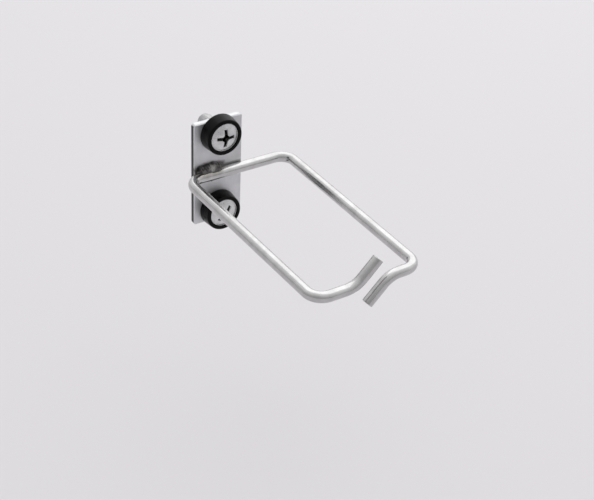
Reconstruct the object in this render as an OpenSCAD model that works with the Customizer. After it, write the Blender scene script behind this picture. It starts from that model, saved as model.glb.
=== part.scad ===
// D-ring cable hook for the front of an equipment rack.
// A bent round wire is welded across a flat steel plate. Two cross-recess screws with cup
// washers hold the plate on the rack rail. At the front one wire end slants up and the other
// down, and cables slip in through the slanted gap between them.
// Origin: middle of the plate's back face. +X along the wire's back run, -Y out of the rack,
// +Z up, so the screws stand one above the other and point along +Y into the rail.

/* [Mounting plate] */
// Width of the plate along X
plate_w = 20; // [18:0.5:26]
// Thickness of the plate
plate_t = 2; // [1.5:0.25:4]
// Radius of the plate's four corners
plate_corner_r = 1.2; // [0.6:0.2:3]
// Bevel that is rolled onto the front edges when the plate is sheared
plate_bevel = 0.35; // [0.1:0.05:0.6]
// Distance between the two screw holes, the outer holes of one rack unit
hole_pitch = 31.75; // [28:0.25:33]
// Diameter of the screw holes
hole_d = 6.6; // [6.2:0.1:7.4]
// Distance from the middle of a screw hole to the plate's end
hole_to_end = 5.1; // [4.7:0.1:12]

/* [Wire loop] */
// Diameter of the wire
wire_d = 4; // [3:0.25:5]
// Distance between the centre lines of the two arms, at the plate
loop_w = 42; // [36:1:60]
// Distance that the loop stands to the right of the plate's middle
loop_shift = 7.5; // [0:0.5:12]
// Length of the arms, from the back run's centre line to the front runs'
arm_len = 84; // [60:1:120]
// Angle by which the right arm leans inwards
arm_lean = 0.7; // [0:0.1:2]
// Centre-line radius of the four corners
corner_r = 5.5; // [4:0.5:8]
// Length of the front run on the left, from the corner to its slanted end
left_front = 15.3; // [14:0.1:16]
// Length of the front run on the right, from the corner to its slanted end
right_front = 11.8; // [11:0.1:13]
// Angle at which the left end slants up and the right end down
end_angle = 45; // [35:1:60]
// Length of each slanted end
end_len = 12; // [8:0.5:16]
// Centre-line radius of the bend into each slanted end
end_bend_r = 9; // [5:0.5:10]
// Chamfer left round the cut wire ends
cut_chamfer = 0.25; // [0.1:0.05:0.8]

/* [Weld] */
// Distance between neighbouring ripples of the weld
ripple_pitch = 1.1; // [0.8:0.1:1.6]
// Number of ripples in each bead
ripples = 9; // [5:1:14]
// Radius of one ripple
ripple_r = 1.45; // [1.2:0.05:1.8]
// Distance of the first ripple from the plate's left edge
weld_inset = 1.6; // [1.5:0.1:3]
// Distance of the ripples' middles in front of the plate
weld_off = 0.6; // [0.4:0.1:0.8]
// Distance of the ripples' middles above or below the wire's centre line
weld_rise = 1.7; // [1.5:0.1:1.9]

/* [Cup washers] */
// Diameter of the washer's foot
washer_foot_d = 14.8; // [13:0.2:18]
// Diameter of the washer's rim
washer_rim_d = 14; // [12.4:0.2:17]
// Height of the washer
washer_h = 5.2; // [4:0.1:7]
// Radius of the rounded outer edge of the rim
rim_round = 0.6; // [0.3:0.1:0.7]
// Bore of the washer
washer_bore_d = 6.5; // [6.2:0.1:7]

/* [Screws] */
// Outer diameter of the thread
thread_d = 6; // [5.5:0.5:6]
// Diameter of the plain neck under the head
neck_d = 5.4; // [4.6:0.1:5.5]
// Diameter of the head
head_d = 11; // [9:0.2:12]
// Height of the head's straight edge
head_edge = 0.4; // [0.2:0.1:0.8]
// Height of the dome above the straight edge
dome_h = 1.3; // [0.8:0.1:2]
// Length from the washer's rim to the screw's point
screw_len = 16; // [14:1:25]
// Chamfer at the screw's point
point_chamfer = 0.7; // [0.4:0.1:1]
// Width across the cross recess, measured at its mouth
recess_d = 6.2; // [5:0.2:7]
// Width of one wing of the recess
recess_wing = 1.3; // [1:0.1:1.8]
// Diameter of the round core that joins the wings at the recess's mouth
recess_core_d = 2.8; // [2.2:0.1:3.4]
// Depth of the recess below the top of the dome
recess_depth = 3.2; // [2.4:0.1:3.6]
// Width of the narrow floor of the recess
recess_floor_d = 2.2; // [1.6:0.1:2.8]
// Turn of the upper recess, where the screw came to rest
upper_turn = -3; // [-45:1:45]
// Turn of the lower recess, where the screw came to rest
lower_turn = 46; // [0:1:90]

/* [Hidden] */

// Width of the gap left between the head's cone and the washer's seat
seat_gap = 0.05;
// Amount by which the washer's seat is wider than the head
seat_play = 0.2;
// Distance behind the plate at which the thread starts
thread_start = 0.4;
// Height by which a bend stands proud of the straights, where bending has swelled the wire
bend_swell = 0.01;
// Length by which a straight runs into a bend
bend_lap = 0.1;
// Depth by which a cut runs past the face that it opens
past = 1;
// Number of sides that each ripple of the weld is drawn with
ripple_sides = 32;
// Number of sides that the dome of a screw head is drawn with
dome_sides = 96;

plate_h = hole_pitch + 2 * hole_to_end;
plate_front = -plate_t;
rim_z = plate_t + washer_h;
seat_d = head_d + seat_play;
left_x = loop_shift - loop_w / 2;
right_x = loop_shift + loop_w / 2;
back_y = plate_front - wire_d / 2;

// The wire is bent as two halves, each from the plate's middle line to its cut end. A half is
// a list of legs: [length up to the corner, roll, turn at the corner, radius of the bend]. The
// roll turns the wire about its own line before the bend, as a wire bender does. Seen along the
// wire, a turn to the right is negative. The last leg ends at the cut. The left half is drawn
// as its mirror image.
RIGHT_HALF = [
    [right_x, 0, -90 - arm_lean, corner_r],
    [arm_len, 0, arm_lean - 90, corner_r],
    [right_front, 90, -end_angle, end_bend_r],
    [end_len, 0, 0, 0]
];
LEFT_HALF = [
    [-left_x, 0, -90, corner_r],
    [arm_len, 0, -90, corner_r],
    [left_front, 90, end_angle, end_bend_r],
    [end_len, 0, 0, 0]
];

$fn = 64;

// Distance from a leg's corner to either end of the bend there
function setback(leg) = leg[3] * tan(abs(leg[2]) / 2);

// Straight wire along +X that runs a little way into the bend at each end, or has a chamfer
// at its far end where it was cut
module wire_straight(span, cut) {
    straight_d = wire_d - 2 * bend_swell;
    far = cut ? span - cut_chamfer : span + bend_lap;
    rotate([0, 90, 0]) {
        translate([0, 0, -bend_lap])
            cylinder(h = far + bend_lap, d = straight_d);
        if (cut)
            translate([0, 0, far])
                cylinder(h = cut_chamfer, d1 = straight_d, d2 = straight_d - 2 * cut_chamfer);
    }
}

// Wire that leaves the origin along +X and turns through an angle
module wire_bend(turn, radius) {
    mirror([0, turn < 0 ? 1 : 0, 0])
        translate([0, radius, 0])
            rotate([0, 0, -90])
                rotate_extrude(angle = abs(turn))
                    translate([radius, 0])
                        circle(d = wire_d);
}

// Wire along +X from the origin through a list of legs, each set down where the last ends
module wire_half(legs, i = 0) {
    leg = legs[i];
    turn = leg[2];
    radius = leg[3];
    side = sign(turn);
    cut = i == len(legs) - 1;
    span = leg[0] - setback(leg) - (i == 0 ? 0 : setback(legs[i - 1]));
    wire_straight(span, cut);
    if (!cut)
        translate([span, 0, 0])
            rotate([leg[1], 0, 0]) {
                wire_bend(turn, radius);
                translate([0, side * radius, 0])
                    rotate([0, 0, turn])
                        translate([0, -side * radius, 0])
                            wire_half(legs, i + 1);
            }
}

module wire_loop() {
    color("gainsboro")
        translate([0, back_y, 0]) {
            wire_half(RIGHT_HALF);
            mirror([1, 0, 0])
                wire_half(LEFT_HALF);
        }
}

// What is cut away outside a rounded corner that points along +X and +Z
module corner_waste() {
    linear_extrude(plate_t + 2 * past)
        difference() {
            square(plate_corner_r + past);
            circle(r = plate_corner_r);
        }
}

// Wedge that bevels a front edge of the given length, lying along X at the origin
module edge_wedge(length) {
    rotate([45, 0, 0])
        cube([length + 2 * past, plate_bevel * sqrt(2), plate_bevel * sqrt(2)], center = true);
}

module mounting_plate() {
    half_w = plate_w / 2;
    half_h = plate_h / 2;
    color("silver")
        difference() {
            translate([-half_w, plate_front, -half_h])
                cube([plate_w, plate_t, plate_h]);
            for (sx = [-1, 1], sz = [-1, 1])
                mirror([sx < 0 ? 1 : 0, 0, 0])
                    mirror([0, 0, sz < 0 ? 1 : 0])
                        translate([half_w - plate_corner_r, past, half_h - plate_corner_r])
                            rotate([90, 0, 0])
                                corner_waste();
            for (sz = [-1, 1])
                translate([0, plate_front, sz * half_h])
                    edge_wedge(plate_w);
            for (sx = [-1, 1])
                translate([sx * half_w, plate_front, 0])
                    rotate([0, 90, 0])
                        edge_wedge(plate_h);
            for (side = [-1, 1])
                at_screw(side)
                    translate([0, 0, -past])
                        cylinder(h = plate_t + 2 * past, d = hole_d);
        }
}

// Fillet of ripples in the notch between the wire and the plate, above it or below it
module weld_bead(side) {
    first = -plate_w / 2 + weld_inset;
    color("darkgray")
        difference() {
            for (i = [0 : ripples - 1])
                translate([first + i * ripple_pitch, plate_front - weld_off, side * weld_rise])
                    sphere(r = ripple_r, $fn = ripple_sides);
            translate([-plate_w, plate_front, -plate_h])
                cube([2 * plate_w, ripple_r + past, 2 * plate_h]);
            wire_loop();
        }
}

module weld_upper() {
    weld_bead(1);
}

module weld_lower() {
    weld_bead(-1);
}

// Places a piece of the upper (1) or lower (-1) screw, whose own +Z points out of the rack
module at_screw(side) {
    translate([0, 0, side * hole_pitch / 2])
        rotate([90, 0, 0])
            children();
}

// Cross recess: two crossed wings inside a cone that widens to recess_d at the mouth, and a
// slimmer cone that rounds off the corners between the wings
module cross_recess(top) {
    depth = recess_depth + past;
    widening = (recess_d - recess_floor_d) * past / recess_depth;
    translate([0, 0, top - recess_depth]) {
        intersection() {
            cylinder(h = depth, d1 = recess_floor_d, d2 = recess_d + widening);
            for (a = [0, 90])
                rotate([0, 0, a])
                    translate([0, 0, depth / 2])
                        cube([2 * recess_d, recess_wing, depth], center = true);
        }
        cylinder(h = depth, d1 = recess_wing, d2 = recess_core_d);
    }
}

// Raised countersunk screw. The head's cone lies seat_gap above the washer's seat.
module cup_screw(side, turned) {
    cone_top = rim_z - (seat_d - head_d) / 2 + seat_gap * sqrt(2);
    cone_h = (head_d - neck_d) / 2;
    edge_top = cone_top + head_edge;
    dome_r = (pow(head_d / 2, 2) + pow(dome_h, 2)) / (2 * dome_h);
    point = rim_z - screw_len;
    color("lightgray")
        at_screw(side)
            difference() {
                union() {
                    intersection() {
                        translate([0, 0, edge_top + dome_h - dome_r])
                            sphere(r = dome_r, $fn = dome_sides);
                        translate([0, 0, edge_top])
                            cylinder(h = dome_h + past, d = head_d);
                    }
                    translate([0, 0, cone_top])
                        cylinder(h = head_edge, d = head_d);
                    translate([0, 0, cone_top - cone_h])
                        cylinder(h = cone_h, d1 = neck_d, d2 = head_d);
                    translate([0, 0, -thread_start])
                        cylinder(h = cone_top - cone_h + thread_start, d = neck_d);
                    translate([0, 0, point + point_chamfer])
                        cylinder(h = -thread_start - point - point_chamfer, d = thread_d);
                    translate([0, 0, point])
                        cylinder(
                            h = point_chamfer,
                            d1 = thread_d - 2 * point_chamfer,
                            d2 = thread_d
                        );
                }
                rotate([0, 0, turned])
                    cross_recess(edge_top + dome_h);
            }
}

module upper_screw() {
    cup_screw(1, upper_turn);
}

module lower_screw() {
    cup_screw(-1, lower_turn);
}

// Half section of the cup washer: a tapered wall with a rounded rim and a conical seat
module washer_section() {
    bore_r = washer_bore_d / 2;
    rim_r = washer_rim_d / 2;
    seat_r = seat_d / 2;
    polygon([
        [bore_r, 0],
        [washer_foot_d / 2, 0],
        [rim_r, washer_h - rim_round],
        [rim_r - rim_round, washer_h],
        [seat_r, washer_h],
        [bore_r, washer_h - (seat_r - bore_r)]
    ]);
    translate([rim_r - rim_round, washer_h - rim_round])
        circle(r = rim_round);
}

module cup_washer(side) {
    color([0.05, 0.05, 0.06])
        at_screw(side)
            translate([0, 0, plate_t])
                rotate_extrude()
                    washer_section();
}

module upper_cup_washer() {
    cup_washer(1);
}

module lower_cup_washer() {
    cup_washer(-1);
}

mounting_plate();
wire_loop();
weld_upper();
weld_lower();
upper_screw();
lower_screw();
upper_cup_washer();
lower_cup_washer();
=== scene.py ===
"""Looks of the rack cable D-ring: a bent wire welded across a plate, with two screws in cup washers.

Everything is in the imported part's frame: the origin is the middle of the plate's back face, -Y
points out of the rack and +Z up. Sizes are in millimetres, and MM turns them into metres.
"""

import math

import bpy
import numpy as np
from mathutils import Matrix, Vector


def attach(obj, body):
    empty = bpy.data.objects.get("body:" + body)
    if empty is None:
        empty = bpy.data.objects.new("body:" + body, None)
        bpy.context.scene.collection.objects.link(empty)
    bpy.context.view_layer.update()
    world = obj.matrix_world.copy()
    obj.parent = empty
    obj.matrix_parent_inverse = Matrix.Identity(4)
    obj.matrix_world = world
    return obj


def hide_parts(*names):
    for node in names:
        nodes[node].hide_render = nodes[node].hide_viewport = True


MM = 0.001
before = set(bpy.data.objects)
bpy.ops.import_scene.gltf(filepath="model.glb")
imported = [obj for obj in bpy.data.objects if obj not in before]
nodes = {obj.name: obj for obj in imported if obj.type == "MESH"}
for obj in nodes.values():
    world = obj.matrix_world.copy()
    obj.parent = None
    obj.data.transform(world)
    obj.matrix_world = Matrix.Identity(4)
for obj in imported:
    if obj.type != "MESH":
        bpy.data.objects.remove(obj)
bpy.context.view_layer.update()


# ---------------------------------------------------------------- sizes, in millimetres

PLATE_T = 2.0

WIRE_D = 4.0
BACK_Y = -PLATE_T - WIRE_D / 2
CUT_ROUND = 0.22
FLATTEN = 0.12

# The wire's halves, from the plate's middle line to each cut end, as a wire bender's legs:
# (length up to the corner, roll about the wire, turn, bend radius), with angles in degrees.
# The left half is the mirror image of what its legs say.
RIGHT_HALF = (
    (28.5, 0.0, -90.7, 5.5),
    (84.0, 0.0, -89.3, 5.5),
    (11.8, 90.0, -45.0, 9.0),
    (12.0, 0.0, 0.0, 0.0),
)
LEFT_HALF = (
    (13.5, 0.0, -90.0, 5.5),
    (84.0, 0.0, -90.0, 5.5),
    (15.3, 90.0, 45.0, 9.0),
    (12.0, 0.0, 0.0, 0.0),
)

# Where the welds start and end along X, and the distance from one ripple to the next
WELD_FROM, WELD_TO = -9.3, 1.4
RIPPLE_PITCH = 1.1
# How far up the plate each bead reaches, and how many degrees round the wire
UPPER_BEAD = (3.0, 92.0)
LOWER_BEAD = (2.35, 40.0)

WASHER_H = 5.2
WASHER_FOOT_R = 7.4
WASHER_RIM_R = 7.0
WASHER_CUP_R = 5.6
WASHER_BORE_R = 3.25
FOOT_ROUND = 0.25
RIM_ROUND = 0.65
LIP_ROUND = 0.15

HOLE_PITCH = 31.75
SCREW_LEN = 16.0
# The washer's rim, in front of the plate's back, and how far the screw head lies below it
RIM_Y = PLATE_T + WASHER_H
SUNK = 1.05
HEAD_R = 5.5
HEAD_EDGE = 0.4
EDGE_ROUND = 0.3
DOME_H = 1.3
NECK_R = 2.7
RECESS_REACH = 3.5
RECESS_WING = 1.44
RECESS_CORE_R = 1.45
RECESS_DEPTH = 3.0
THREAD_CREST_R = 3.0
THREAD_ROOT_R = 2.42
THREAD_PITCH = 1.0
# Where the thread starts, just behind the plate's back, and its radius at the point
THREAD_START = -0.3
POINT_R = 2.3


# ---------------------------------------------------------------- shapes

def smooth(edge0, edge1, x):
    """0 below edge0 and 1 above edge1, with the S-curve t*t*(3 - 2t) between them."""
    t = np.clip((x - edge0) / (edge1 - edge0), 0, 1)
    return t * t * (3 - 2 * t)


def lump(x, y, scale, seed):
    """Soft lumps between about -1 and 1: a sum of seven sine waves in turned directions."""
    rng = np.random.default_rng(seed)
    total = np.zeros(np.broadcast(x, y).shape)
    for _ in range(7):
        turn, phase, stretch = rng.uniform(0, 2 * np.pi, 2).tolist() + [rng.uniform(0.6, 1.7)]
        total = total + np.sin((x * np.cos(turn) + y * np.sin(turn)) * stretch / scale + phase)
    return total / 4


def around(cols):
    """Angles of a full turn in cols equal steps, without the last one, which is the first."""
    return np.arange(cols) * 2 * np.pi / cols


def add_piece(name, mesh, material):
    """Smooths a mesh and adds it to the part as a piece of one material."""
    mesh.polygons.foreach_set("use_smooth", [True] * len(mesh.polygons))
    mesh.validate()
    mesh.update()
    piece = bpy.data.objects.new(name, mesh)
    bpy.context.scene.collection.objects.link(piece)
    mesh.materials.append(material)
    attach(piece, "root")
    return piece


def add_rod(name, points, material, uv=None):
    """A piece from a grid of points whose columns join up and whose first and last rows close.

    The rows run along the piece and the columns round it. Each of the two end rows closes on
    its middle point. uv holds one pair a grid point, in metres.
    """
    rows, cols = points.shape[:2]
    verts = np.concatenate([points.reshape(-1, 3), [points[0].mean(0), points[-1].mean(0)]]) * MM
    r, c = np.meshgrid(np.arange(rows - 1), np.arange(cols), indexing="ij")
    after = (c + 1) % cols
    quads = np.stack([r * cols + c, r * cols + after, (r + 1) * cols + after, (r + 1) * cols + c], -1)
    ring = np.arange(cols)
    ring_after = (ring + 1) % cols
    last = (rows - 1) * cols
    first_fan = np.stack([np.full(cols, rows * cols), ring_after, ring], -1)
    last_fan = np.stack([np.full(cols, rows * cols + 1), last + ring, last + ring_after], -1)
    mesh = bpy.data.meshes.new(name)
    mesh.from_pydata(verts.tolist(), [],
                     quads.reshape(-1, 4).tolist() + first_fan.tolist() + last_fan.tolist())
    if uv is not None:
        layer = mesh.uv_layers.new(name="UVMap")
        corner = np.stack([uv[r, c], uv[r, after], uv[r + 1, after], uv[r + 1, c]], 2)
        # the last column's far side is one full turn on, not back at the start
        full_turn = uv[:, 0, 1] + (uv[:, -1, 1] - uv[:, 0, 1]) * cols / (cols - 1)
        closing = c == cols - 1
        corner[..., 1, 1] = np.where(closing, full_turn[r], corner[..., 1, 1])
        corner[..., 2, 1] = np.where(closing, full_turn[r + 1], corner[..., 2, 1])
        fans = np.repeat(uv[[0, -1], 0], 3 * cols, 0)
        layer.data.foreach_set("uv", np.concatenate([corner.reshape(-1, 2), fans]).ravel())
    return add_piece(name, mesh, material)


def add_ring(name, points, material):
    """A piece from a grid of points whose rows and columns both join up."""
    rows, cols = points.shape[:2]
    r, c = np.meshgrid(np.arange(rows), np.arange(cols), indexing="ij")
    down, after = (r + 1) % rows, (c + 1) % cols
    quads = np.stack([r * cols + c, r * cols + after, down * cols + after, down * cols + c], -1)
    mesh = bpy.data.meshes.new(name)
    mesh.from_pydata((points.reshape(-1, 3) * MM).tolist(), [], quads.reshape(-1, 4).tolist())
    return add_piece(name, mesh, material)


def walk(legs, step):
    """Points, tangents and curvature vectors along a half of the wire, as arrays of rows.

    It starts at the plate's middle line along +X with its left side towards +Y. Each leg goes
    straight, rolls about its own line, then follows an arc of the leg's radius whose ends lie
    radius * tan(turn / 2) from the corner.
    """
    place = np.array([0.0, BACK_Y, 0.0])
    ahead, left, up = np.eye(3)
    before = 0.0
    points, tangents, curves = [], [], []
    for length, roll, turn, radius in legs:
        angle = math.radians(turn)
        setback = radius * math.tan(abs(angle) / 2)
        span = length - setback - before
        n = max(2, int(span / step))
        points.append(place + (np.arange(n) * span / n)[:, None] * ahead)
        tangents.append(np.tile(ahead, (n, 1)))
        curves.append(np.zeros((n, 3)))
        place = place + span * ahead
        if radius:
            c, s = math.cos(math.radians(roll)), math.sin(math.radians(roll))
            left, up = c * left + s * up, c * up - s * left
            inward = math.copysign(1, angle) * left
            n = max(8, int(radius * abs(angle) / step * 2))
            t = (np.arange(n + 1) * abs(angle) / n)[:, None]
            arc = place + radius * (inward * (1 - np.cos(t)) + ahead * np.sin(t))
            along = ahead * np.cos(t) + inward * np.sin(t)
            towards = inward * np.cos(t) - ahead * np.sin(t)
            points.append(arc[:-1])
            tangents.append(along[:-1])
            curves.append(towards[:-1] / radius)
            place, ahead = arc[-1], along[-1]
            left = math.copysign(1, angle) * towards[-1]
        before = setback
    points.append(place[None])
    tangents.append(ahead[None])
    curves.append(np.zeros((1, 3)))
    return np.concatenate(points), np.concatenate(tangents), np.concatenate(curves)


def wire_path(step=0.5):
    """The whole wire from the left cut end to the right one: points, tangents, curvatures."""
    right = walk(RIGHT_HALF, step)
    flip = np.array([-1, 1, 1])
    left = [rows[::-1] * flip for rows in walk(LEFT_HALF, step)]
    left[1] = -left[1]
    return [np.concatenate([a[:-1], b]) for a, b in zip(left, right)]


def make_wire(material):
    """The bent wire: a circle of WIRE_D carried along wire_path.

    In a bend the circle is flattened towards the bend's middle by FLATTEN times the curvature,
    which is 2 % at the tightest. Its curvature is averaged over nine rows, so that a bend eases
    in. A cut end has a small rounded edge, then a flat face of rings that shrink to a point.
    """
    points, tangents, curves = wire_path()
    radius = WIRE_D / 2
    face = radius - CUT_ROUND
    a = np.linspace(0, np.pi / 2, 7)
    # the rows that close an end: how far out each lies from the cut, and its circle's radius
    cap_out = np.concatenate([CUT_ROUND * (np.sin(a) - 1), np.zeros(6)])
    cap_r = np.concatenate([face + CUT_ROUND * np.cos(a), face * np.linspace(1, 0.06, 7)[1:]])
    along = np.concatenate([[0], np.cumsum(np.linalg.norm(np.diff(points, axis=0), axis=1))])
    inner = (along > CUT_ROUND) & (along < along[-1] - CUT_ROUND)
    path = np.concatenate([points[0] - tangents[0] * cap_out[::-1, None], points[inner],
                           points[-1] + tangents[-1] * cap_out[:, None]])
    ahead = np.concatenate([np.repeat(tangents[:1], len(cap_r), 0), tangents[inner],
                            np.repeat(tangents[-1:], len(cap_r), 0)])
    size = np.concatenate([cap_r[::-1], np.full(inner.sum(), radius), cap_r])[:, None]
    s = np.concatenate([-cap_out[::-1], along[inner], along[-1] + cap_out])
    eased = [np.convolve(curves[:, k], np.ones(9) / 9, "same") for k in range(3)]
    curve = np.stack([np.interp(s, along, part) for part in eased], -1)
    # backwards round the wire, so that its faces look outward
    phi = -around(72)
    # the section's level side, which never turns about the wire, and the side square to it
    level = np.stack([ahead[:, 1], -ahead[:, 0], 0 * s], -1)
    level /= np.linalg.norm(level, axis=1)[:, None]
    upright = np.cross(level, ahead)
    offset = (level[:, None] * np.cos(phi)[:, None] + upright[:, None] * np.sin(phi)[:, None]) * size[:, None]
    squeeze = FLATTEN * (offset * curve[:, None]).sum(-1, keepdims=True)
    tightness = np.maximum(np.linalg.norm(curve, axis=1), 1e-6)[:, None, None]
    grid = path[:, None] + offset - squeeze * curve[:, None] / tightness
    uv = np.empty((len(path), len(phi), 2))
    uv[..., 0] = s[:, None] * MM
    uv[..., 1] = (phi * radius)[None] * MM
    return add_rod("wire", grid, material, uv)


def make_weld(name, side, reach, wrap, material):
    """A weld bead in the notch above (side 1) or below (side -1) the wire.

    Along the bead the section is an arc between a foot on the plate, reach millimetres on from
    0.8 at the most, and a foot on the wire, wrap degrees on from 36. Its bulge swells once a
    ripple, which is bowed, and by soft lumps. All of it falls to nothing at both ends.
    """
    x = np.linspace(WELD_FROM, WELD_TO, 150)[:, None]
    t = np.linspace(0, 1, 30)[None]
    ends = (smooth(WELD_FROM - 0.2, WELD_FROM + 1.6, x)
            * smooth(-WELD_TO - 0.2, -WELD_TO + 1.6, -x))
    ripple = 0.5 + 0.5 * np.cos(2 * np.pi * (x + 1.4 * (t - 0.5) ** 2) / RIPPLE_PITCH)
    size = ends * (1 + 0.14 * lump(x, x * 0, 1.3, 3 + side))
    lean = np.radians(36 + wrap * np.minimum(size, 1.05))
    plate_foot = np.stack([x, -PLATE_T + 0 * x, side * (0.8 + reach * size)], -1)
    wire_foot = np.stack([x, BACK_Y + WIRE_D / 2 * np.cos(lean), side * WIRE_D / 2 * np.sin(lean)], -1)
    front = plate_foot * (1 - t[..., None]) + wire_foot * t[..., None]
    swell = 0.42 + 0.28 * ripple + 0.16 * lump(x, t * 3, 0.7, 9 + side)
    bulge = np.sin(np.pi * t) ** 0.7 * swell * ends
    front[..., 1] -= bulge * 0.65
    front[..., 2] += side * bulge * 0.75
    # the hidden side, sunk a little into the plate and the wire
    t = np.linspace(1, 0, 6)[1:-1][None]
    back = plate_foot * (1 - t[..., None]) + wire_foot * t[..., None]
    back[..., 1] += 0.25 * np.sin(np.pi * t)
    back[..., 2] -= side * 0.35 * np.sin(np.pi * t)
    grid = np.concatenate([front, back], 1)[:, ::side]
    return add_rod(name, grid, material)


def turned(r, z, phi):
    """A grid of points about +Z from a half section (r, z), which may itself depend on phi."""
    return np.stack([r * np.cos(phi), r * np.sin(phi), z + 0 * phi], -1)


def at_screw(grid, side, turn=0.0):
    """Turns points about +Z by turn degrees, then lays that axis along -Y at a screw's place."""
    a = math.radians(turn)
    x = grid[..., 0] * math.cos(a) - grid[..., 1] * math.sin(a)
    y = grid[..., 0] * math.sin(a) + grid[..., 1] * math.cos(a)
    return np.stack([x, -grid[..., 2], y + side * HOLE_PITCH / 2], -1)


def make_head(name, side, turn, material):
    """Screw head with its cross recess: a height over polar coordinates.

    The height is the dome's, a parabola, less the recess's depth, which nears RECESS_DEPTH as
    1 - exp(-inside / 0.7), where inside grows from the mouth of the nearer wing or the core.
    A low burr stands round the mouth. Below the dome come the rounded edge, the cone and the neck.
    """
    cone_top = RIM_Y - SUNK
    edge_top = cone_top + HEAD_EDGE
    # close rings as far as the recess reaches, then wider ones
    fine = RECESS_REACH + 0.5
    r = np.concatenate([np.linspace(0.02, fine, 110), np.linspace(fine, HEAD_R - EDGE_ROUND, 14)[1:]])[:, None]
    phi = around(288)[None]
    x, y = r * np.cos(phi), r * np.sin(phi)
    far, near = np.maximum(abs(x), abs(y)), np.minimum(abs(x), abs(y))
    wing = np.minimum((RECESS_WING / 2 - near) * 4.2, (RECESS_REACH - far) * 1.8)
    inside = np.maximum(wing, (RECESS_CORE_R - np.hypot(x, y)) * 2.3)
    depth = RECESS_DEPTH * (1 - np.exp(-np.maximum(inside, 0) / 0.7)) * smooth(-0.02, 0.2, inside)
    burr = 0.06 * smooth(-0.35, 0.0, inside) * (1 - smooth(0.0, 0.3, inside))
    dome = turned(r, edge_top + DOME_H * (1 - (r / HEAD_R) ** 2) - depth + burr, phi)
    a = np.linspace(0, np.pi / 2, 6)
    fall = np.array([0.0, 0.3, 2.5, HEAD_R - NECK_R])
    rest_r = np.concatenate([HEAD_R - EDGE_ROUND * (1 - np.sin(a)), HEAD_R - fall, [NECK_R]])
    rest_z = np.concatenate([edge_top + 0.09 + 0.084 * np.cos(a), cone_top - fall, [THREAD_START]])
    rest = turned(rest_r[:, None], rest_z[:, None], phi)
    grid = at_screw(np.concatenate([dome, rest])[:, ::-1], side, turn)
    return add_rod(name, grid, material)


def make_thread(name, side, material):
    """Screw shank with its thread: the radius is a clipped triangle wave of height less turn.

    It swings between root and crest once a pitch and moves on by one pitch a turn. It grows out
    of the neck over the first millimetre and tapers at the point.
    """
    point = RIM_Y - SCREW_LEN
    z = np.linspace(THREAD_START, point, 180)[:, None]
    phi = around(72)[None]
    phase = (z / THREAD_PITCH - phi / (2 * np.pi)) % 1.0
    wave = np.clip(1.35 * (1 - abs(2 * phase - 1)) - 0.12, 0, 1)
    radius = THREAD_ROOT_R + (THREAD_CREST_R - THREAD_ROOT_R) * wave
    run_in = smooth(-THREAD_START - 0.1, -THREAD_START + 0.9, -z)
    radius = radius * run_in + NECK_R * (1 - run_in)
    radius = np.minimum(radius, POINT_R + (z - point) * 0.9)
    grid = at_screw(turned(radius, z, phi)[:, ::-1], side)
    return add_rod(name, grid, material)


def make_washer(name, side, material):
    """Cup washer: its half section, carried round the screw's axis.

    The section is a tapered wall with a rounded foot, a rounded rim with a narrow flat, a short
    upright cup wall, and the cone that the head lies in.
    """
    t = np.linspace(0, 1, 12)
    a = np.linspace(0, np.pi / 2, 12)
    cone = WASHER_CUP_R - WASHER_BORE_R
    wall_top, cup_top = WASHER_H - RIM_ROUND, WASHER_H - LIP_ROUND - 0.05
    foot = np.stack([WASHER_FOOT_R - FOOT_ROUND * (1 - np.sin(a)), FOOT_ROUND * (1 - np.cos(a))], -1)
    wall = np.stack([WASHER_FOOT_R + (WASHER_RIM_R - WASHER_FOOT_R) * t,
                     FOOT_ROUND + (wall_top - FOOT_ROUND) * t], -1)
    rim = np.stack([WASHER_RIM_R - RIM_ROUND * (1 - np.cos(a)), wall_top + RIM_ROUND * np.sin(a)], -1)
    lip = np.stack([WASHER_CUP_R + LIP_ROUND * (1 - np.sin(a)), WASHER_H - LIP_ROUND * (1 - np.cos(a))], -1)
    cup = np.stack([WASHER_CUP_R + 0 * t, cup_top - SUNK * t], -1)
    seat = np.stack([WASHER_CUP_R - cone * t, cup_top - SUNK - cone * t], -1)
    # the bore down to its rounded foot, then a point on the underside
    bore = np.array([[0.0, 1.5], [0.0, 1.0], [0.0, 0.3], [0.1, 0.1], [0.25, 0.0], [1.75, 0.0]])
    bore[:, 0] += WASHER_BORE_R
    section = np.concatenate([foot, wall[1:], rim[1:], lip, cup[1:], seat[1:], bore])
    grid = turned(section[None, :, 0], section[None, :, 1] + PLATE_T, around(160)[:, None])
    return add_ring(name, at_screw(grid[:, ::-1], side), material)


# ---------------------------------------------------------------- materials

def linear(hex_colour):
    """Linear RGBA of an sRGB hex colour such as "c8c8cc"."""
    parts = [int(hex_colour[i:i + 2], 16) / 255 for i in (0, 2, 4)]
    return [p / 12.92 if p <= 0.04045 else ((p + 0.055) / 1.055) ** 2.4 for p in parts] + [1.0]


def new_material(name):
    """A material with its node tree and the Principled shader in it."""
    material = bpy.data.materials.new(name)
    material.use_nodes = True
    tree = material.node_tree
    return material, tree, tree.nodes["Principled BSDF"]


def node(tree, kind, settings=None, **links):
    """Adds a node with its settings (own properties, input values or ramp stops) and links.

    A name such as in1 stands for the input of that number. A ramp's stops are pairs of a place
    and an sRGB hex colour or a linear grey level.
    """
    made = tree.nodes.new(kind)

    def socket(key):
        return made.inputs[int(key[2:]) if key[:2] == "in" else key.replace("_", " ")]

    for key, value in (settings or {}).items():
        if key == "stops":
            elements = made.color_ramp.elements
            elements.remove(elements[1])
            for place, colour in value:
                element = elements[0] if place == value[0][0] else elements.new(place)
                element.position = place
                element.color = linear(colour) if isinstance(colour, str) else [colour] * 3 + [1.0]
        elif hasattr(made, key):
            setattr(made, key, value)
        else:
            socket(key).default_value = value
    for key, source in links.items():
        tree.links.new(source, socket(key))
    return made


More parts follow.
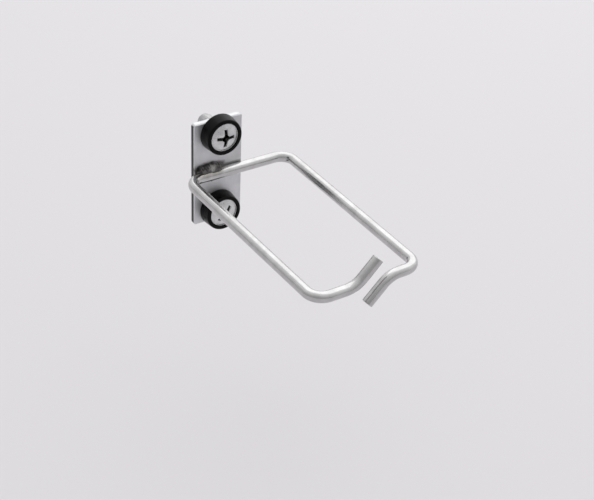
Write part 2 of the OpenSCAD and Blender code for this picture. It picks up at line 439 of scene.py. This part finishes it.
def heat(tree, place):
    """How near a point is to the welds: 1 beside them, falling unevenly to 0 some way off."""
    # an egg round the upper weld, in millimetres
    middle, half = (-4.0, -3.0, 2.2), (7.5, 5.0, 2.4)
    egg = node(tree, "ShaderNodeMapping",
               {"Location": [-m / h for m, h in zip(middle, half)], "Scale": [1 / (h * MM) for h in half]},
               Vector=place)
    reach = node(tree, "ShaderNodeVectorMath", {"operation": "LENGTH"}, in0=egg.outputs[0])
    wobble = node(tree, "ShaderNodeTexNoise", {"Scale": 1 / (2.0 * MM), "Detail": 4.0}, Vector=place)
    uneven = node(tree, "ShaderNodeMath", {"operation": "MULTIPLY_ADD", "in1": 0.8},
                  in0=wobble.outputs[0], in2=reach.outputs["Value"])
    near = node(tree, "ShaderNodeMapRange",
                {"interpolation_type": "SMOOTHSTEP", "From Min": 1.6, "From Max": 1.0},
                Value=uneven.outputs[0])
    return near.outputs[0]


def bright_wire():
    """Bright nickel-plated drawn wire, burnt a little beside the welds.

    The eye sees a soft mirror with faint lengthwise drawing lines.
    """
    material, tree, shader = new_material("bright_nickel_plated_wire")
    place = node(tree, "ShaderNodeTexCoord").outputs
    # drawing lines 25 mm long and 0.15 mm apart, wider than real ones so that they show
    line_map = node(tree, "ShaderNodeMapping", {"Scale": (1 / (25 * MM), 1 / (0.154 * MM), 1)},
                    Vector=place["UV"])
    lines = node(tree, "ShaderNodeTexNoise", {"Scale": 1.0, "Detail": 3.0}, Vector=line_map.outputs[0])
    cloud = node(tree, "ShaderNodeTexNoise", {"Scale": 1 / (3.85 * MM), "Detail": 4.0},
                 Vector=place["Object"])
    tint = node(tree, "ShaderNodeValToRGB", {"stops": ((0.35, "b8b7b7"), (0.65, "c5c4c4"))},
                Fac=cloud.outputs[0])
    darkened = node(tree, "ShaderNodeMix", {"data_type": "RGBA", "in7": linear("a29f9a")},
                 in0=heat(tree, place["Object"]), in6=tint.outputs[0])
    rough = node(tree, "ShaderNodeValToRGB", {"stops": ((0.3, 0.16), (0.75, 0.3))}, Fac=lines.outputs[0])
    bump = node(tree, "ShaderNodeBump", {"Strength": 0.12, "Distance": 0.04 * MM}, Height=lines.outputs[0])
    tree.links.new(darkened.outputs[2], shader.inputs["Base Color"])
    tree.links.new(rough.outputs[0], shader.inputs["Roughness"])
    tree.links.new(bump.outputs[0], shader.inputs["Normal"])
    shader.inputs["Metallic"].default_value = 1.0
    return material


def zinc_plate():
    """Zinc-plated sheet steel, cut with a shear and burnt beside the welds.

    The eye sees a satin grey face with faint rolling lines and blotches, sheared sides darkened by
    painted shade, a dark smoky patch beside the welds, and a painted shade line along the wire.
    """
    material, tree, shader = new_material("zinc_plated_sheet")
    place = node(tree, "ShaderNodeTexCoord").outputs["Object"]
    # rolling lines along the plate's height, 0.2 mm apart, wider than real ones so that they show
    line_map = node(tree, "ShaderNodeMapping",
                    {"Scale": (1 / (0.2 * MM), 1 / (0.2 * MM), 1 / (8.33 * MM))}, Vector=place)
    lines = node(tree, "ShaderNodeTexNoise", {"Scale": 1.0, "Detail": 3.0}, Vector=line_map.outputs[0])
    cloud = node(tree, "ShaderNodeTexNoise", {"Scale": 1 / (5.56 * MM), "Detail": 5.0}, Vector=place)
    tint = node(tree, "ShaderNodeValToRGB", {"stops": ((0.3, "c8c8cb"), (0.7, "d8d8da"))},
                Fac=cloud.outputs[0])
    # painted shade: a dark line close to the wire's height, on the front alone, for the wire's shadow on the
    # plate
    parts = node(tree, "ShaderNodeSeparateXYZ", {}, Vector=place)
    height = node(tree, "ShaderNodeMath", {"operation": "ABSOLUTE"}, in0=parts.outputs[2])
    wire_contact_shade = node(tree, "ShaderNodeMapRange",
                {"interpolation_type": "SMOOTHSTEP", "From Min": 2.6 * MM, "From Max": 1.8 * MM,
                 "To Max": 0.45}, Value=height.outputs[0])
    front = node(tree, "ShaderNodeMath", {"operation": "LESS_THAN", "in1": -PLATE_T / 2 * MM},
                 in0=parts.outputs[1])
    line = node(tree, "ShaderNodeMath", {"operation": "MULTIPLY"}, in0=wire_contact_shade.outputs[0], in1=front.outputs[0])
    # the darker of the soot beside the welds and the painted shade line
    soot_and_wire_shade = node(tree, "ShaderNodeMath", {"operation": "MAXIMUM"}, in0=line.outputs[0],
                 in1=heat(tree, place))
    # the soot and the painted shade both darken the plate towards this colour
    darkened = node(tree, "ShaderNodeMix", {"data_type": "RGBA", "in7": linear("6a6867")},
                 in0=soot_and_wire_shade.outputs[0], in6=tint.outputs[0])
    # painted shade on the sheared sides: faces that look left or right are made dark
    facing = node(tree, "ShaderNodeNewGeometry").outputs["Normal"]
    sideways = node(tree, "ShaderNodeSeparateXYZ", {}, Vector=facing)
    squarely = node(tree, "ShaderNodeMath", {"operation": "ABSOLUTE"}, in0=sideways.outputs[0])
    side_shade = node(tree, "ShaderNodeMapRange", {"From Min": 0.8, "From Max": 0.95},
                   Value=squarely.outputs[0])
    tone = node(tree, "ShaderNodeMix", {"data_type": "RGBA", "in7": linear("484748")},
                in0=side_shade.outputs[0], in6=darkened.outputs[2])
    rough = node(tree, "ShaderNodeValToRGB", {"stops": ((0.3, 0.42), (0.7, 0.58))}, Fac=lines.outputs[0])
    bump = node(tree, "ShaderNodeBump", {"Strength": 0.2, "Distance": 0.03 * MM}, Height=lines.outputs[0])
    tree.links.new(tone.outputs[2], shader.inputs["Base Color"])
    tree.links.new(rough.outputs[0], shader.inputs["Roughness"])
    tree.links.new(bump.outputs[0], shader.inputs["Normal"])
    shader.inputs["Metallic"].default_value = 1.0
    return material


def weld_metal():
    """Arc weld metal, plated over.

    The eye sees it dark, gritty and mottled, with a lighter patch here and there.
    """
    material, tree, shader = new_material("plated_weld_bead")
    place = node(tree, "ShaderNodeTexCoord").outputs["Object"]
    grit = node(tree, "ShaderNodeTexNoise", {"Scale": 1 / (0.67 * MM), "Detail": 6.0}, Vector=place)
    cloud = node(tree, "ShaderNodeTexNoise", {"Scale": 1 / (2.38 * MM), "Detail": 4.0}, Vector=place)
    tint = node(tree, "ShaderNodeValToRGB",
                {"stops": ((0.34, "3a393a"), (0.52, "6b6968"), (0.68, "aaa8a6"))}, Fac=cloud.outputs[0])
    rough = node(tree, "ShaderNodeValToRGB", {"stops": ((0.3, 0.3), (0.7, 0.55))}, Fac=grit.outputs[0])
    bump = node(tree, "ShaderNodeBump", {"Strength": 0.5, "Distance": 0.15 * MM}, Height=grit.outputs[0])
    tree.links.new(tint.outputs[0], shader.inputs["Base Color"])
    tree.links.new(rough.outputs[0], shader.inputs["Roughness"])
    tree.links.new(bump.outputs[0], shader.inputs["Normal"])
    shader.inputs["Metallic"].default_value = 1.0
    return material


def screw_steel():
    """Nickel-plated steel, cold headed, thread rolled and tumbled.

    The eye sees a pale satin grey with a fine grain, and a recess darkened by painted shade.
    """
    material, tree, shader = new_material("nickel_plated_screw")
    place = node(tree, "ShaderNodeTexCoord").outputs["Object"]
    grit = node(tree, "ShaderNodeTexNoise", {"Scale": 1 / (0.33 * MM), "Detail": 4.0}, Vector=place)
    cloud = node(tree, "ShaderNodeTexNoise", {"Scale": 1 / (2.0 * MM), "Detail": 4.0}, Vector=place)
    tint = node(tree, "ShaderNodeValToRGB", {"stops": ((0.35, "c6c6c7"), (0.65, "d6d6d7"))},
                Fac=cloud.outputs[0])
    # painted shade: dark from just under the head's face to the neck, and clean again on the thread
    parts = node(tree, "ShaderNodeSeparateXYZ", {}, Vector=place)
    depth = node(tree, "ShaderNodeMapRange", {"From Min": -8.0 * MM, "From Max": 2.0 * MM},
                 Value=parts.outputs[1])
    recess_shade = node(tree, "ShaderNodeValToRGB", {"stops": ((0.14, 0.0), (0.22, 1.0), (0.5, 1.0), (0.8, 0.0))},
                 Fac=depth.outputs[0])
    tone = node(tree, "ShaderNodeMix", {"data_type": "RGBA", "in7": linear("3c3a3a")},
                in0=recess_shade.outputs[0], in6=tint.outputs[0])
    rough = node(tree, "ShaderNodeValToRGB", {"stops": ((0.3, 0.24), (0.7, 0.38))}, Fac=grit.outputs[0])
    bump = node(tree, "ShaderNodeBump", {"Strength": 0.25, "Distance": 0.03 * MM}, Height=grit.outputs[0])
    tree.links.new(tone.outputs[2], shader.inputs["Base Color"])
    tree.links.new(rough.outputs[0], shader.inputs["Roughness"])
    tree.links.new(bump.outputs[0], shader.inputs["Normal"])
    shader.inputs["Metallic"].default_value = 1.0
    return material


def black_plastic():
    """Black acetal, injection moulded.

    The eye sees a deep gloss with slight swirls in it.
    """
    material, tree, shader = new_material("moulded_black_acetal")
    place = node(tree, "ShaderNodeTexCoord").outputs["Object"]
    swirl = node(tree, "ShaderNodeTexNoise", {"Scale": 1 / (3.125 * MM), "Detail": 3.0}, Vector=place)
    tint = node(tree, "ShaderNodeValToRGB", {"stops": ((0.3, "040405"), (0.7, "09090a"))},
                Fac=swirl.outputs[0])
    rough = node(tree, "ShaderNodeValToRGB", {"stops": ((0.3, 0.16), (0.7, 0.28))}, Fac=swirl.outputs[0])
    bump = node(tree, "ShaderNodeBump", {"Strength": 0.1, "Distance": 0.06 * MM}, Height=swirl.outputs[0])
    tree.links.new(tint.outputs[0], shader.inputs["Base Color"])
    tree.links.new(rough.outputs[0], shader.inputs["Roughness"])
    tree.links.new(bump.outputs[0], shader.inputs["Normal"])
    shader.inputs["IOR"].default_value = 1.25
    shader.inputs["Specular IOR Level"].default_value = 0.3
    return material


# ---------------------------------------------------------------- the part

wire_finish = bright_wire()
plate_finish = zinc_plate()
weld_finish = weld_metal()
screw_finish = screw_steel()
washer_finish = black_plastic()

wire = make_wire(wire_finish)
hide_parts("wire_loop")
# the upper and the lower half: name, side, turn of the screw's recess in degrees, and bead
for name, side, turn, bead_size in (("upper", 1, -3, UPPER_BEAD), ("lower", -1, 46, LOWER_BEAD)):
    bead = make_weld(f"{name}_weld_bead", side, *bead_size, weld_finish)
    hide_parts(f"weld_{name}")
    head = make_head(f"{name}_screw_head", side, turn, screw_finish)
    shank = make_thread(f"{name}_screw_thread", side, screw_finish)
    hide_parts(f"{name}_screw")
    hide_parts(f"{name}_screw")
    cup = make_washer(f"{name}_washer", side, washer_finish)
    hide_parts(f"{name}_cup_washer")

plate = nodes["mounting_plate"]
plate.data.materials.clear()
plate.data.materials.append(plate_finish)


# ---------------------------------------------------------------- floor, light and camera

# The soft box's place in metres, and with it the side that the light comes from
KEY_SIDE = (0.5, 0.38, 0.78)


def make_floor():
    """A wide flat floor of pale paper, 90 mm below the part's middle."""
    mesh = bpy.data.meshes.new("floor")
    half, z = 3.0, -90 * MM
    mesh.from_pydata([(-half, -half, z), (half, -half, z), (half, half, z), (-half, half, z)], [],
                     [(0, 1, 2, 3)])
    floor = bpy.data.objects.new("floor", mesh)
    bpy.context.scene.collection.objects.link(floor)
    material, tree, shader = new_material("pale_paper")
    shader.inputs["Base Color"].default_value = linear("d4d2d5")
    shader.inputs["Roughness"].default_value = 0.9
    mesh.materials.append(material)


def make_world():
    """A pale room, lightest towards the soft box and darkest on the opposite side."""
    world = bpy.data.worlds.new("studio")
    bpy.context.scene.world = world
    world.use_nodes = True
    tree = world.node_tree
    ray = node(tree, "ShaderNodeTexCoord").outputs["Generated"]
    towards = node(tree, "ShaderNodeVectorMath", {"operation": "DOT_PRODUCT", "in1": KEY_SIDE}, in0=ray)
    share = node(tree, "ShaderNodeMapRange", {"From Min": -1.0}, Value=towards.outputs["Value"])
    level = node(tree, "ShaderNodeValToRGB",
                 {"stops": ((0.0, 0.4), (0.415, 0.5), (0.715, 0.88), (0.9, 1.12))}, Fac=share.outputs[0])
    tree.links.new(level.outputs[0], tree.nodes["Background"].inputs["Color"])


def make_soft_box():
    """A square soft box 1.4 m wide, a metre off on the light's side, that faces the part."""
    data = bpy.data.lights.new("soft_box", "AREA")
    data.shape = "SQUARE"
    data.size = 1.4
    data.energy = 4.3
    lamp = bpy.data.objects.new("soft_box", data)
    bpy.context.scene.collection.objects.link(lamp)
    lamp.location = KEY_SIDE
    lamp.rotation_mode = "QUATERNION"
    lamp.rotation_quaternion = Vector(KEY_SIDE).to_track_quat("Z", "Y")


def make_camera():
    """The camera: azimuth and elevation about its aim point, then a small roll."""
    azimuth, elevation, roll = (math.radians(a) for a in (-34.21, 33.75, 2.83))
    aim = np.array([38.18, 0.0, -48.98]) * MM
    distance = 539.45 * MM
    back = np.array([math.sin(azimuth) * math.cos(elevation), -math.cos(azimuth) * math.cos(elevation),
                     math.sin(elevation)])
    right = np.array([math.cos(azimuth), math.sin(azimuth), 0.0])
    up = np.cross(back, right)
    rolled_right = math.cos(roll) * right + math.sin(roll) * up
    rolled_up = math.cos(roll) * up - math.sin(roll) * right
    data = bpy.data.cameras.new("camera")
    data.sensor_width = 36.0
    data.lens = 81.4
    data.clip_start = 0.01
    camera = bpy.data.objects.new("camera", data)
    bpy.context.scene.collection.objects.link(camera)
    pose = np.eye(4)
    pose[:3] = np.stack([rolled_right, rolled_up, back, aim + back * distance], -1)
    camera.matrix_world = Matrix(pose.tolist())
    bpy.context.scene.camera = camera


make_floor()
make_world()
make_soft_box()
make_camera()
bpy.context.scene.view_settings.view_transform = "Standard"
